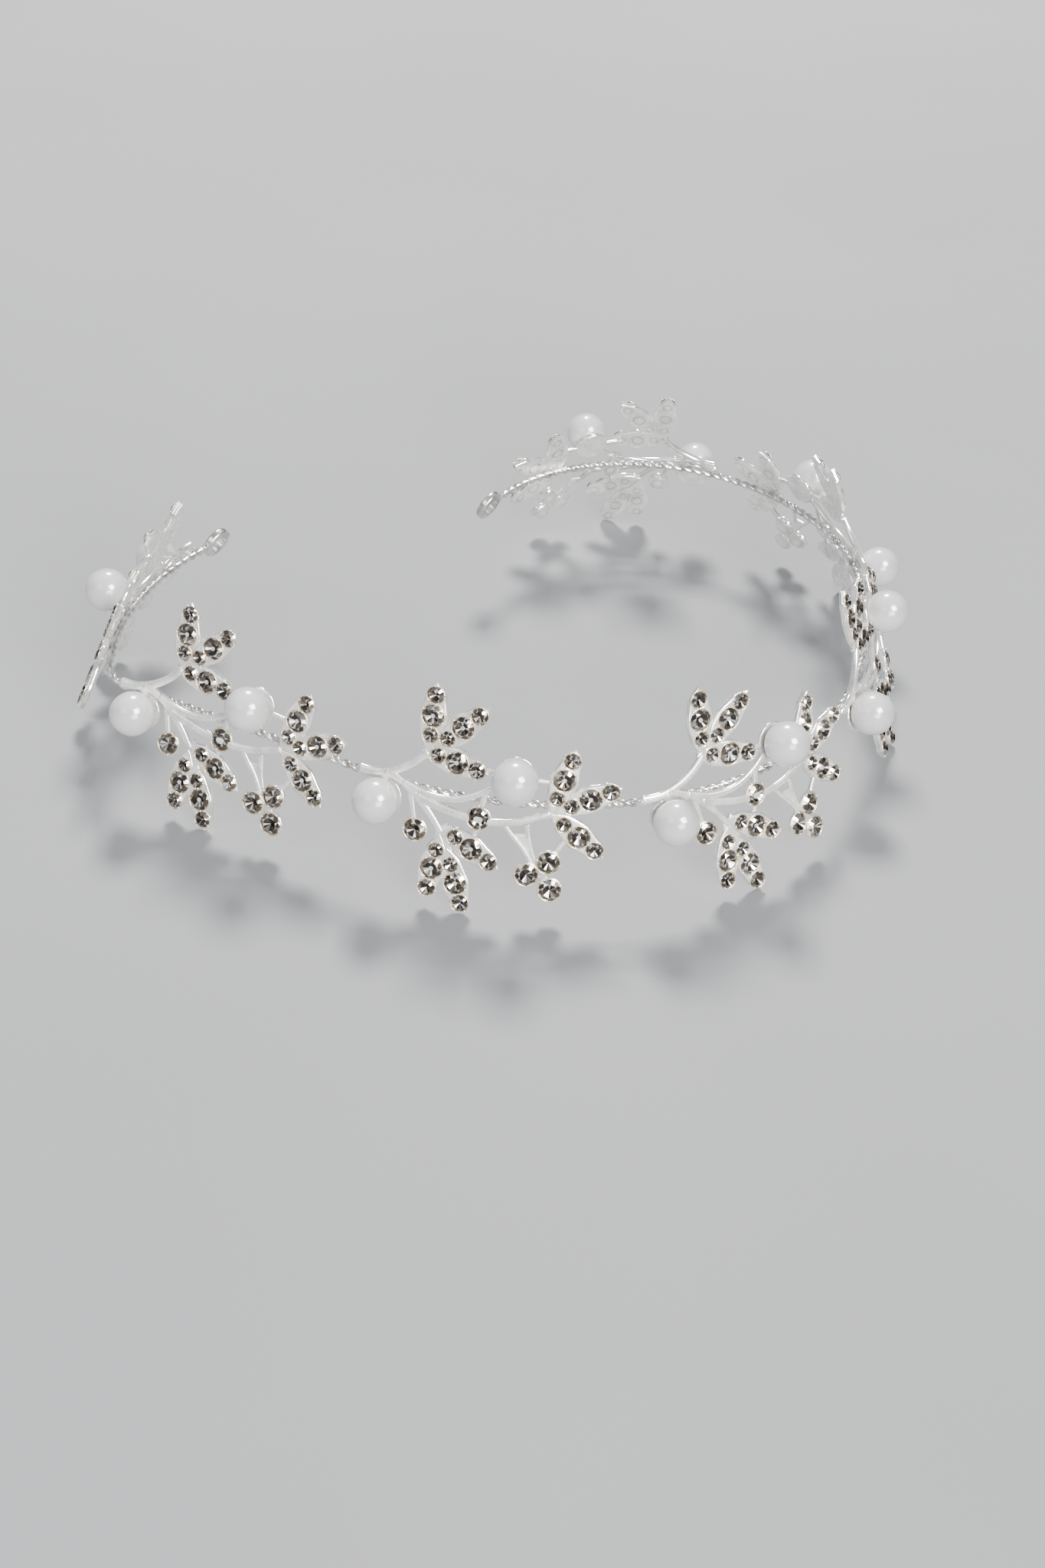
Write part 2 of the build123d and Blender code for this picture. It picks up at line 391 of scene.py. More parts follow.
SATIN = SilverFinish(
    "satin_silver",
    colour=(0.97, 0.962, 0.935),
    dull=(0.74, 0.73, 0.695),
    smoothest=0.18,
    roughest=0.36,
    metallic=0.42,
)
POLISHED = SilverFinish(
    "polished_silver",
    colour=(0.96, 0.95, 0.925),
    dull=(0.74, 0.725, 0.695),
    smoothest=0.06,
    roughest=0.20,
    metallic=0.74,
    grain=3600.0,
    grain_height=0.000012,
)
WARM = SilverFinish(
    "warm_rim_silver",
    colour=(0.96, 0.87, 0.67),
    dull=(0.76, 0.61, 0.38),
    smoothest=0.12,
    roughest=0.28,
    metallic=0.70,
    grain=4200.0,
    grain_height=0.000012,
)
ROPE = SilverFinish(
    "rope_silver",
    colour=(0.80, 0.79, 0.765),
    dull=(0.42, 0.40, 0.37),
    smoothest=0.14,
    roughest=0.32,
    metallic=0.95,
    grain=3000.0,
    grain_height=0.000012,
)
# Stones coloured with painted reflections.
CRYSTAL = CrystalPaintedReflections("foiled_crystal_painted_reflections")
LACQUER = PearlFinish("pearl_lacquer")
PAPER = FloorFinish("pale_paper", light=(0.315, 0.32, 0.33), shade=(0.29, 0.295, 0.305))
# The cards' paint: dark sheets standing in for unlit surroundings, seen only as painted dark
# reflections.
DARK = FloorFinish("dark_card_paint", light=(0.02, 0.02, 0.022), shade=(0.015, 0.015, 0.016))


# ------------------------------------------------------------------ the band and its meshes


@dataclass(frozen=True)
class Station:
    """A flat drawing board on the band's face: x along the wire, y up the band, z out."""

    origin: Vector
    along: Vector
    rise: Vector
    face: Vector

    def at(self, x: float, y: float, z: float) -> Vector:
        """A point of the board, in the row frame's millimetres."""
        return self.origin + self.along * x + self.rise * y + self.face * z


@dataclass(frozen=True)
class Band:
    """The bent wire's own shape, which places every piece."""

    pitch: float = 48.0
    castings: int = 7
    bends: tuple[tuple[float, float], ...] = (
        (5 / 6, 40),
        (1 / 6, 60),
        (1, 0),
        (1, 40),
        (1, 48),
        (1, 32),
        (1, 64),
        (1, 76),
    )
    front_bend: int = 4
    lean: float = 20.0
    wire_d: float = 1.5
    lead: float = 3.0
    solder_gap: float = 0.05
    shift: Vector = field(default_factory=lambda: Vector((0, 0, 0)))

    @property
    def back(self) -> float:
        """How far out the castings' backs lie."""
        return self.wire_d / 2 + self.solder_gap

    @property
    def length(self) -> float:
        """Wire length under the castings."""
        return self.pitch * self.castings

    def _step(self, x: float, y: float, heading: float, turn: float, run: float) -> Triple:
        """Follow an even bend.

        Args:
            x: Where it starts.
            y: Where it starts.
            heading: Its direction there, in degrees.
            turn: How far it turns over the run, in degrees.
            run: The length followed.

        Returns:
            The place and the heading at the run's end.
        """
        start = radians(heading)
        if turn == 0:
            return x + run * cos(start), y + run * sin(start), heading
        radius = run / radians(turn)
        end = heading + turn
        x += radius * (sin(radians(end)) - sin(start))
        y -= radius * (cos(radians(end)) - cos(start))
        return x, y, end

    def plan(self, along: float) -> Triple:
        """Plan position and heading.

        Args:
            along: Length along the wire.

        Returns:
            x, y and the heading in degrees, before the shift.
        """
        before = sum(turn for _, turn in self.bends[: self.front_bend])
        x, y, heading = 0.0, 0.0, -(before + self.bends[self.front_bend][1] / 2)
        if along < 0:
            return self._step(x, y, heading, 0, along)
        for share, turn in self.bends:
            run = share * self.pitch
            if along <= run:
                return self._step(x, y, heading, turn * along / run, along)
            x, y, heading = self._step(x, y, heading, turn, run)
            along -= run
        return self._step(x, y, heading, 0, along)

    def station(self, along: float, up: float = 0.0, out: float = 0.0) -> Station:
        """The drawing board at a place of the band.

        Args:
            along: Length along the wire.
            up: Height on the leaning face.
            out: Distance from the face.

        Returns:
            The board there.
        """
        x, y, heading = self.plan(along)
        turn, tilt = radians(heading), radians(self.lean)
        tangent = Vector((cos(turn), sin(turn), 0))
        outward = Vector((sin(turn), -cos(turn), 0))
        face = outward * cos(tilt) + Vector((0, 0, sin(tilt)))
        rise = face.cross(tangent)
        origin = self.shift + Vector((x, y, 0)) + rise * up + face * out
        return Station(origin, tangent, rise, face)

    def settled(self, low: Vector, high: Vector) -> Band:
        """This band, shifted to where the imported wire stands.

        Args:
            low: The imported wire's lowest corner, in metres.
            high: Its highest corner.

        Returns:
            The band in the row frame.
        """
        count = 2000
        places = [self.plan(self.length * i / count) for i in range(count + 1)]
        middle_x = (min(x for x, _, _ in places) + max(x for x, _, _ in places)) / 2
        front_y = min(y for _, y, _ in places) - self.wire_d / 2
        shift_x = (low.x + high.x) / 2 / METRES - middle_x
        shift_y = low.y / METRES - front_y
        return Band(shift=Vector((shift_x, shift_y, (low.z + high.z) / 2 / METRES)))


class Shell:
    """Points and faces gathered for one piece, in millimetres until it is made."""

    def __init__(self) -> None:
        """Start with nothing."""
        self.points: list[Vector] = []
        self.faces: list[tuple[int, ...]] = []
        self.finish: list[int] = []
        self.smooth: list[bool] = []
        self.painted_reflection_tones: list[float] = []

    def face(
        self,
        corners: Iterable[int],
        finish: int = 0,
        smooth: bool = True,
        tone: float = 0.5,
    ) -> None:
        """Add one face.

        Args:
            corners: Numbers of its points.
            finish: Number of its finish.
            smooth: Whether it is shaded smooth.
            tone: Its facet's painted reflection tone.
        """
        self.faces.append(tuple(corners))
        self.finish.append(finish)
        self.smooth.append(smooth)
        self.painted_reflection_tones.append(tone)

    def loft(
        self,
        rings: Sequence[Sequence[Vector]],
        finish: int | Sequence[int] = 0,
        loop: bool = False,
    ) -> None:
        """Skin a row of rings with equal numbers of points, and close off both ends.

        Args:
            rings: The rings, each turning the same way.
            finish: One finish, or one for each band between rings.
            loop: Whether the last ring joins the first, which leaves no ends.
        """
        base, count = len(self.points), len(rings[0])
        for ring in rings:
            self.points.extend(ring)
        total = len(rings) if loop else len(rings) - 1
        kinds = [finish] * total if isinstance(finish, int) else finish
        for i in range(total):
            here, there = base + i * count, base + (i + 1) % len(rings) * count
            for j in range(count):
                k = (j + 1) % count
                self.face((here + j, here + k, there + k, there + j), kinds[i])
        if not loop:
            last = base + total * count
            self.face(range(base + count - 1, base - 1, -1), kinds[0], False)
            self.face(range(last, last + count), kinds[-1], False)

    def lathe(
        self,
        board: Station,
        centre: Place,
        profile: Sequence[Place],
        sides: int = 32,
        finish: int | Sequence[int] = 0,
        loop: bool = False,
    ) -> None:
        """Turn a profile about an axis that points out of a board.

        Args:
            board: The drawing board.
            centre: Where the axis stands on it.
            profile: Radius and height pairs.
            sides: Points in each ring.
            finish: One finish, or one for each band.
            loop: Whether the profile is a closed loop, as for a ring.
        """
        x, y = centre
        turn = [tau * i / sides for i in range(sides)]
        rings = [
            [board.at(x + radius * cos(a), y + radius * sin(a), height) for a in turn]
            for radius, height in profile
        ]
        self.loft(rings, finish, loop)

    def grain(self, board: Station, centre: Triple, radius: float, finish: int) -> None:
        """A small round bead of metal.

        Args:
            board: The drawing board.
            centre: Its centre on the board.
            radius: Its radius.
            finish: Number of its finish.
        """
        x, y, level = centre
        rows, sides = 6, 10
        tilts = [-pi / 2 + pi * (i + 0.5) / rows for i in range(rows)]
        profile = [(radius * cos(tilt), level + radius * sin(tilt)) for tilt in tilts]
        self.lathe(board, (x, y), profile, sides, finish)

    def rod(
        self,
        path: Sequence[tuple[Vector, Vector]],
        widths: Sequence[float],
        heights: Sequence[float],
        finishes: tuple[int, int],
        power: float = 2.6,
    ) -> None:
        """A rod with a softly squared section along a path.

        Args:
            path: Points, each with the direction that the rod's top faces.
            widths: Half widths along it.
            heights: Half heights along it.
            finishes: Finish of its sides and of its top.
            power: How square the section is.
        """
        sides, top_from, top_until = 20, 0.12, 0.38
        base = len(self.points)
        for i, (point, top) in enumerate(path):
            ahead = path[min(i + 1, len(path) - 1)][0] - path[max(i - 1, 0)][0]
            side = ahead.cross(top).normalized()
            lift = side.cross(ahead).normalized()
            for j in range(sides):
                angle = tau * j / sides
                c, s = cos(angle), sin(angle)
                x = widths[i] * abs(c) ** (2 / power) * (1 if c >= 0 else -1)
                y = heights[i] * abs(s) ** (2 / power) * (1 if s >= 0 else -1)
                self.points.append(point + side * x + lift * y)
        for i in range(len(path) - 1):
            for j in range(sides):
                k = (j + 1) % sides
                here, there = base + i * sides, base + (i + 1) * sides
                on_top = top_from < (j + 0.5) / sides < top_until
                kind = finishes[1] if on_top else finishes[0]
                self.face((here + j, there + j, there + k, here + k), kind)
        self.face(range(base, base + sides), finishes[0], False)
        last = base + (len(path) - 1) * sides
        self.face(range(last + sides - 1, last - 1, -1), finishes[0], False)

    def make(
        self,
        name: str,
        finishes: Sequence[bpy.types.Material],
        keep_painted_reflections: bool = False,
    ) -> bpy.types.Object:
        """Make the piece.

        Args:
            name: The piece's name.
            finishes: Its materials, in the order that faces name them.
            keep_painted_reflections: Whether each face's painted reflection tone is kept with the
                mesh.

        Returns:
            The new object, in metres.
        """
        mesh = bpy.data.meshes.new(name)
        mesh.from_pydata([point * METRES for point in self.points], [], self.faces)
        for finish in finishes:
            mesh.materials.append(finish)
        mesh.polygons.foreach_set("material_index", self.finish)
        mesh.polygons.foreach_set("use_smooth", self.smooth)
        if keep_painted_reflections:
            painted_reflection_tones = mesh.attributes.new(FACET_PAINTED_REFLECTION, "FLOAT", "FACE")
            painted_reflection_tones.data.foreach_set("value", self.painted_reflection_tones)
        mesh.update()
        piece = bpy.data.objects.new(name, mesh)
        bpy.context.scene.collection.objects.link(piece)
        return piece


def smooth_path(places: Sequence[Place], steps: int) -> list[Place]:
    """A smooth line through places.

    Args:
        places: The places, in order.
        steps: Short runs between each two of them.

    Returns:
        The line's places.
    """
    ends = [places[0], *places, places[-1]]
    line = []
    for i in range(len(places) - 1):
        a, b, c, d = (Vector(p) for p in ends[i : i + 4])
        for j in range(steps):
            t = j / steps
            square, cube = 2 * a - 5 * b + 4 * c - d, 3 * b - a - 3 * c + d
            spot = 0.5 * (2 * b + (c - a) * t + square * t**2 + cube * t**3)
            line.append((spot.x, spot.y))
    line.append(places[-1])
    return line


# ------------------------------------------------------------------ sub-assemblies


@dataclass(frozen=True)
class StoneCut:
    """One size of round-cut crystal."""

    size: StoneSize
    diameter: float
    step: float
    girdle: float = 0.62
    crown: float = 0.52
    table: float = 0.60
    kite: float = 0.82
    foot: float = 0.42
    heart_depth: float = 0.36
    swell: float = 1.045

    def cut(
        self,
        shell: Shell,
        board: Station,
        centre: Place,
        floor: float,
        luck: random.Random,
    ) -> None:
        """Cut one stone into a shell, flat facet by facet.

        Args:
            shell: Where its facets go.
            board: The drawing board under it.
            centre: Its middle on the board.
            floor: Height of its foot.
            luck: Chooses each facet's painted reflection tone.
        """
        radius = self.diameter / 2 * self.swell
        spin = luck.uniform(0, 45)

        def ring(share: float, height: float, count: int = 16, offset: float = 0.0) -> list[int]:
            """Add a ring of corners.

            Args:
                share: Its radius, as a share of the stone's.
                height: Its height over the foot.
                count: How many corners it has.
                offset: Degrees to its first corner.

            Returns:
                The corners' numbers.
            """
            first = len(shell.points)
            for i in range(count):
                angle = radians(spin + offset + 360 * i / count)
                x = centre[0] + radius * share * cos(angle)
                y = centre[1] + radius * share * sin(angle)
                shell.points.append(board.at(x, y, floor + height))
            return list(range(first, first + count))

        def facet(corners: Iterable[int], tone: float) -> None:
            """Add one flat facet with its painted reflection tone."""
            shell.face(corners, 0, False, tone)

        top = self.girdle + self.crown
        table = ring(self.table, top)
        kite = ring(self.kite, self.girdle + self.crown * 0.5, 8, 22.5)
        girdle = ring(1.0, self.girdle)
        foot = ring(self.foot, 0.0)
        heart = len(shell.points)
        shell.points.append(board.at(*centre, floor + top - radius * self.heart_depth))
        # Facet tones pick painted reflections from the crystal ramp: low tones paint smoky dark
        # reflections, high tones paint white glints; the heart facets paint the pavilion seen
        # through the table.
        for i, tip in enumerate(kite):
            a, b, c = table[2 * i], table[2 * i + 1], table[(2 * i + 2) % 16]
            low, middle, after = girdle[2 * i], girdle[2 * i + 1], girdle[(2 * i + 2) % 16]
            facet((a, tip, b), luck.choice((0.2, 0.55, 1.0)))
            facet((b, tip, c), luck.choice((0.3, 0.6, 0.9)))
            facet((a, kite[i - 1], low, tip), luck.uniform(0.15, 0.65))
            facet((tip, low, middle), luck.uniform(0.25, 0.95))
            facet((tip, middle, after), luck.uniform(0.25, 0.95))
            facet((a, b, heart), luck.choice((0.06, 0.12, 0.30, 0.55)))
            facet((b, c, heart), luck.choice((0.08, 0.16, 0.40, 0.98)))
        for i in range(16):
            j = (i + 1) % 16
            facet((girdle[i], foot[i], foot[j], girdle[j]), 0.3)
        facet(foot[::-1], 0.3)


@dataclass(frozen=True)
class SprigCasting:
    """One casting: three sprigs, stems, cups, the pierced gusset and two pearl seats."""

    band: Band
    number: int
    stones: dict[StoneSize, StoneCut]
    plate_h: float = 1.2
    seat_depth: float = 0.7
    stem_axis: float = 0.8
    twig_axis: float = 0.62
    leaf_width: float = 5.0
    leaf_root: float = 3.0
    leaf_tip: float = 9.2
    leaf_margin: float = 0.30
    cup_wall: float = 0.4
    pearl_seat_d: float = 7.2
    sprigs: tuple[Sprig, ...] = (
        ((11.0, 7.0), ((91, 3.0), (46, 4.2), (-8, 1.8))),
        ((15.0, -5.6), ((-96, 4.2), (-69, 6.7), (-27, 2.8))),
        ((32.5, -1.0), ((72, 2.9), (23, 3.7), (-39, 2.9))),
    )
    pearls: tuple[Place, ...] = ((4.4, -2.8), (26.3, 5.1))
    lone: tuple[Place, ...] = ((10.7, -7.0), (20.8, -2.9))
    cluster_heart: Place = (31.6, -12.1)
    cluster: tuple[Place, ...] = ((-2.6, 0.09), (0.99, 2.39), (1.5, -2.51))
    stems: tuple[Bar, ...] = (
        (1.40, ((-0.3, 0.9), (3.0, 1.3), (6.2, 2.7), (8.9, 4.7), (11.0, 7.0))),
        (1.30, ((4.3, 1.9), (8.2, 0.4), (11.0, -1.8), (13.3, -4.2), (15.0, -6.5))),
        (1.20, ((7.6, 0.7), (12.0, -0.4), (16.4, -0.3), (20.2, 1.2), (23.6, 3.6))),
        (1.35, ((10.2, -1.1), (14.6, -2.2), (20.6, -3.2), (26.6, -2.9), (32.5, -1.0))),
        (1.25, ((4.2, 1.6), (4.5, -1.5))),
    )
    twigs: tuple[Bar, ...] = (
        (1.00, ((8.9, 0.0), (10.3, -5.6))),
        (0.95, ((21.5, 1.8), (21.0, -1.8))),
        (0.80, ((20.7, -4.4), (20.3, -7.0))),
        (1.00, ((33.4, -8.2), (35.4, -5.2))),
        (0.75, ((20.0, 5.7), (23.4, 5.3))),
        (0.70, ((29.3, 4.7), (33.0, 4.4))),
    )
    gusset_top: Place = (26.8, -3.4)
    gusset_foot: Place = (30.2, -9.9)
    leaf_profile: tuple[Place, ...] = (
        *((0.34, 0.0), (0.10, 0.06), (0.0, 0.24), (0.0, 0.86)),
        *((0.08, 1.04), (0.26, 1.14), (0.52, 1.15)),
    )
    cup_profile: tuple[Place, ...] = (
        *((0.75, 0.04), (0.45, 0.05), (0.20, 0.28), (0.08, 0.70), (0.03, 1.02)),
        *((0.10, 1.16), (0.26, 1.18), (0.40, 1.10), (0.46, 0.70)),
    )
    dish_profile: tuple[Place, ...] = (
        *((0.70, 0.07), (0.36, 0.12), (0.20, 0.30), (0.16, 0.62)),
        *((0.22, 0.78), (0.36, 0.84), (0.56, 0.76)),
    )
    lumps: tuple[tuple[Place, Triple, float], ...] = (
        ((0.2, 0.5), (1.5, 0.95, 0.8), 0.45),
        ((4.3, 0.9), (1.3, 1.2, 0.6), 0.7),
        ((33.0, -0.6), (1.7, 1.2, 0.7), 0.35),
    )

    @property
    def start(self) -> float:
        """Wire length before this casting."""
        return (self.number - 1) * self.band.pitch

    @property
    def floor(self) -> float:
        """Height of the stones' feet over the plates' backs."""
        return self.plate_h - self.seat_depth

    def board(self, centre: Place) -> Station:
        """The flat board at the plates' backs."""
        return self.band.station(self.start + centre[0], centre[1], self.band.back)

    def settings(self) -> list[tuple[StoneCut, Station, Place]]:
        """Every stone's cut, board and middle."""
        found = []
        for centre, leaves in self.sprigs:
            board = self.board(centre)
            for direction, first in leaves:
                for cut in self.stones.values():
                    reach = first + cut.step
                    spot = (reach * cos(radians(direction)), reach * sin(radians(direction)))
                    found.append((cut, board, spot))
        large = self.stones[StoneSize.LARGE]
        found += [(large, self.board(place), (0.0, 0.0)) for place in self.lone]
        board = self.board(self.cluster_heart)
        return found + [(large, board, place) for place in self.cluster]

    def half_width(self, x: float) -> float:
        """Half the width of a leaf, scalloped round its stones.

        Args:
            x: Distance past the leaf's first stone.

        Returns:
            The half width.
        """
        t = (x + self.leaf_root) / (self.leaf_tip + self.leaf_root)
        parts = [self.leaf_width / 2 * 0.93 * max(0.0, 4 * t * (1 - t)) ** 0.8]
        for cut in self.stones.values():
            reach = (cut.diameter / 2 + self.leaf_margin) ** 2 - (x - cut.step) ** 2
            parts.append(sqrt(max(0.0, reach)))
        widest = sum(part**8 for part in parts) ** (1 / 8)
        point = max(0.0, (self.leaf_tip - x)) * 0.85
        return min(widest, point, max(0.0, x + self.leaf_root) * 1.5)

    def leaf(self, shell: Shell, board: Station, direction: float, first: float) -> None:
        """A pointed, scalloped leaf plate with rounded shoulders.

        Args:
            shell: Where it goes.
            board: The sprig's board.
            direction: Degrees that the leaf points.
            first: Distance to its first stone.
        """
        c, s = cos(radians(direction)), sin(radians(direction))
        steps, margin = 44, 0.02
        run = self.leaf_tip + self.leaf_root - 2 * margin
        shares = [(1 - cos(pi * i / steps)) / 2 for i in range(steps + 1)]
        xs = [-self.leaf_root + margin + run * share for share in shares]
        outline = [(x, self.half_width(x)) for x in xs]
        outline += [(x, -self.half_width(x)) for x in xs[-2:0:-1]]
        rings = []
        for inset, height in self.leaf_profile:
            ring = []
            for x, y in outline:
                shrink = max(0.0, 1 - inset / max(abs(y), 0.6))
                reach, across = first + x * (1 - inset * 0.02), y * shrink
                ring.append(board.at(reach * c - across * s, reach * s + across * c, height))
            rings.append(ring)
        shell.loft(rings, [0, 1, 1, 1, 1, 0])

    def cup(self, shell: Shell, board: Station, centre: Place, radius: float) -> None:
        """A stone's own cup, flared from a narrow foot to a rolled rim.

        Args:
            shell: Where it goes.
            board: The board under it.
            centre: Its middle on the board.
            radius: Its stone's radius.
        """
        wall = radius + self.cup_wall
        profile = [(wall - inset, height) for inset, height in self.cup_profile]
        shell.lathe(board, centre, profile, 36, [0, 1, 1, 1, 1, 2, 2, 2])

    def bezel(
        self,
        shell: Shell,
        board: Station,
        centre: Place,
        radius: float,
        turn: float,
    ) -> None:
        """A thin rim pressed over a stone's edge, with four grains.

        Args:
            shell: Where it goes.
            board: The board under it.
            centre: The stone's middle.
            radius: The stone's radius.
            turn: Degrees to the first grain.
        """
        level, reach, thick = self.plate_h - 0.03, radius + 0.13, 0.09
        angles = [tau * i / 7 for i in range(7)]
        profile = [(reach + thick * cos(angle), level + thick * sin(angle)) for angle in angles]
        shell.lathe(board, centre, profile, 30, 2, True)
        for i in range(4):
            angle = radians(turn + 90 * i)
            spot = (centre[0] + reach * cos(angle), centre[1] + reach * sin(angle), level + 0.05)
            shell.grain(board, spot, 0.17, 1)

    def stem(
        self,
        shell: Shell,
        diameter: float,
        places: Sequence[Place],
        axis: float,
        taper: float,
    ) -> None:
        """A cast stem that follows the band, with a flat satin top.

        Args:
            shell: Where it goes.
            diameter: Its thickness at the root.
            places: Where it runs.
            axis: Height of its axis over the plates' backs.
            taper: Its share of thickness left at the tip.
        """
        path = []
        for along, up in smooth_path(places, 9):
            spot = self.band.station(self.start + along, up, self.band.back + axis)
            path.append((spot.origin, spot.face))
        count = len(path) - 1
        swell = []
        for i in range(count + 1):
            root = 0.18 * (1 - min(1, 4 * i / count)) ** 2
            swell.append(1 + (taper - 1) * i / count + root)
        widths = [diameter * 0.57 * s for s in swell]
        heights = [min(diameter / 2 * s, axis - 0.02) for s in swell]
        shell.rod(path, widths, heights, (1, 0))

    def gusset(self, shell: Shell) -> None:
        """Two curved ribs that meet at the cluster, with a thin pierced web between them.

        Args:
            shell: Where it goes.
        """
        (top_x, top_y), (foot_x, foot_y) = self.gusset_top, self.gusset_foot
        edges = []
        for side in (-1, 1):
            places = [(top_x + side * 1.95, top_y + 0.2)]
            for t in (0.25, 0.5, 0.75):
                spread = side * (1.75 * (1 - t) ** 1.7 + 0.33)
                middle = (top_x + (foot_x - top_x) * t, top_y + (foot_y - top_y) * t)
                places.append((middle[0] + spread, middle[1]))
            places.append((foot_x + side * 0.28, foot_y - 0.2))
            edges.append(smooth_path(places, 5))
            self.stem(shell, 0.80, places, 0.55, 0.9)
        left, right = edges
        base = len(shell.points)
        rows = range(5, len(left))
        for i in rows:
            for along, up in (left[i], right[i]):
                for axis in (0.32, 0.62):
                    spot = self.band.station(self.start + along, up, self.band.back + axis)
                    shell.points.append(spot.origin)
        for row in range(len(rows) - 1):
            a = base + row * 4
            b = a + 4
            shell.face((a + 1, b + 1, b + 3, a + 3), 0)
            shell.face((a, a + 2, b + 2, b), 0)
        shell.face((base, base + 1, base + 3, base + 2), 0, False)

    def pearl_seat(self, shell: Shell, place: Place) -> None:
        """The dished disc and peg that carry a pearl.

        Args:
            shell: Where it goes.
            place: Along and up of its middle.
        """
        edge = self.pearl_seat_d / 2
        profile = [(edge - inset, height) for inset, height in self.dish_profile]
        profile += [(1.6, 0.20), (0.5, 0.14), (0.5, 2.9)]
        shell.lathe(self.board(place), (0.0, 0.0), profile, 40, [0, 1, 1, 1, 1, 1, 0, 0, 0])

    def solder(self, shell: Shell, place: Place, size: Triple, out: float) -> None:
        """A soft lump of solder where metals join.

        Args:
            shell: Where it goes.
            place: Along and up of its middle.
            size: Half lengths along, up and out.
            out: Height of its middle over the plates' backs.
        """
        board = self.board(place)
        sides, rows = 14, 8
        turns = [tau * j / sides for j in range(sides)]
        rings = []
        for i in range(1, rows):
            tilt = -pi / 2 + pi * i / rows
            x, y, z = size[0] * cos(tilt), size[1] * cos(tilt), out + size[2] * sin(tilt)
            rings.append([board.at(x * cos(a), y * sin(a), z) for a in turns])
        shell.loft(rings, 1)

    def build_metal(self, finishes: Sequence[bpy.types.Material]) -> bpy.types.Object:
        """The casting's metal.

        Args:
            finishes: Satin, polished and warm silver.

        Returns:
            The piece.
        """
        shell, luck = Shell(), random.Random(40 + self.number)
        for centre, leaves in self.sprigs:
            board = self.board(centre)
            for direction, first in leaves:
                self.leaf(shell, board, direction, first)
                self.rib(shell, board, direction, first)
        for cut, board, spot in self.settings():
            self.bezel(shell, board, spot, cut.diameter / 2, luck.uniform(0, 90))
            self.socket_back(shell, board, spot, cut.diameter / 2)
        stone = self.stones[StoneSize.LARGE].diameter / 2
        for place in self.lone:
            self.cup(shell, self.board(place), (0.0, 0.0), stone)
        for place in self.cluster:
            self.cup(shell, self.board(self.cluster_heart), place, stone)
        self.solder(shell, self.cluster_heart, (1.3, 1.3, 0.55), 0.6)
        for diameter, places in self.stems:
            self.stem(shell, diameter, places, self.stem_axis, 0.82)
        for diameter, places in self.twigs:
            self.stem(shell, diameter, places, self.twig_axis, 0.95)
        self.gusset(shell)
        for place in self.pearls:
            self.pearl_seat(shell, place)
        for lump in self.lumps:
            self.solder(shell, *lump)
        return shell.make(f"casting_{self.number}", finishes)

    def rib(self, shell: Shell, board: Station, direction: float, first: float) -> None:
        """The short bar that ties a leaf to its sprig's middle.

        Args:
            shell: Where it goes.
            board: The sprig's board.
            direction: Degrees that the leaf points.
            first: Distance to its first stone.
        """
        c, s = cos(radians(direction)), sin(radians(direction))
        steps, half_width, half_height, level = 4, 0.95, 0.5, 0.55
        path = []
        for i in range(steps + 1):
            reach = first * i / steps
            path.append((board.at(reach * c, reach * s, level), board.face))
        count = len(path)
        shell.rod(path, [half_width] * count, [half_height] * count, (1, 0), 3.0)

    def socket_back(self, shell: Shell, board: Station, centre: Place, radius: float) -> None:
        """The round-shouldered back of a stone's seat, seen from inside the tiara.

        Args:
            shell: Where it goes.
            board: The board under it.
            centre: The stone's middle.
            radius: The stone's radius.
        """
        shoulders = ((0.30, 0.10), (0.45, 0.0), (0.62, -0.03), (0.86, 0.02), (0.90, 0.20))
        profile = [(radius * share, height) for share, height in shoulders]
        shell.lathe(board, centre, profile, 20, 1)

    def build_stones(self, size: StoneSize, finish: bpy.types.Material) -> bpy.types.Object:
        """All the casting's stones of one size.

        Args:
            size: Which stones.
            finish: The crystal.

        Returns:
            The piece.
        """
        shell, luck = Shell(), random.Random(self.number * 10 + len(size.value))
        for cut, board, spot in self.settings():
            if cut.size is size:
                cut.cut(shell, board, spot, self.floor, luck)
        return shell.make(f"{size.value}_stones_{self.number}", [finish], keep_painted_reflections=True)


@dataclass(frozen=True)
class Pearl:
    """A half-drilled pearl on its peg."""

    board: Station
    number: int
    radius: float = 4.0
    lift: float = 0.1
    hole_r: float = 0.55
    hole_depth: float = 3.1

    def build(self, finish: bpy.types.Material) -> bpy.types.Object:
        """The pearl, drilled and very slightly out of round.

        Args:
            finish: The lacquer.

        Returns:
            The piece.
        """
        squash = random.Random(700 + self.number).uniform(0.992, 0.998)
        shell = Shell()
        middle, rows = self.lift + self.radius, 40
        start = atan2(self.hole_r, self.radius)
        profile = [
            (0.05, self.hole_depth + self.lift),
            (self.hole_r, self.hole_depth + self.lift),
            (self.hole_r, middle - self.radius * cos(start) + 0.05),
        ]
        for i in range(rows + 1):
            angle = start + 0.02 + (pi - start - 0.05) * i / rows
            height = middle - self.radius * cos(angle) * 0.999
            profile.append((self.radius * squash * sin(angle), height))
        shell.lathe(self.board, (0.0, 0.0), profile, 64)
        return shell.make(f"pearl_bead_{self.number:02d}", [finish])


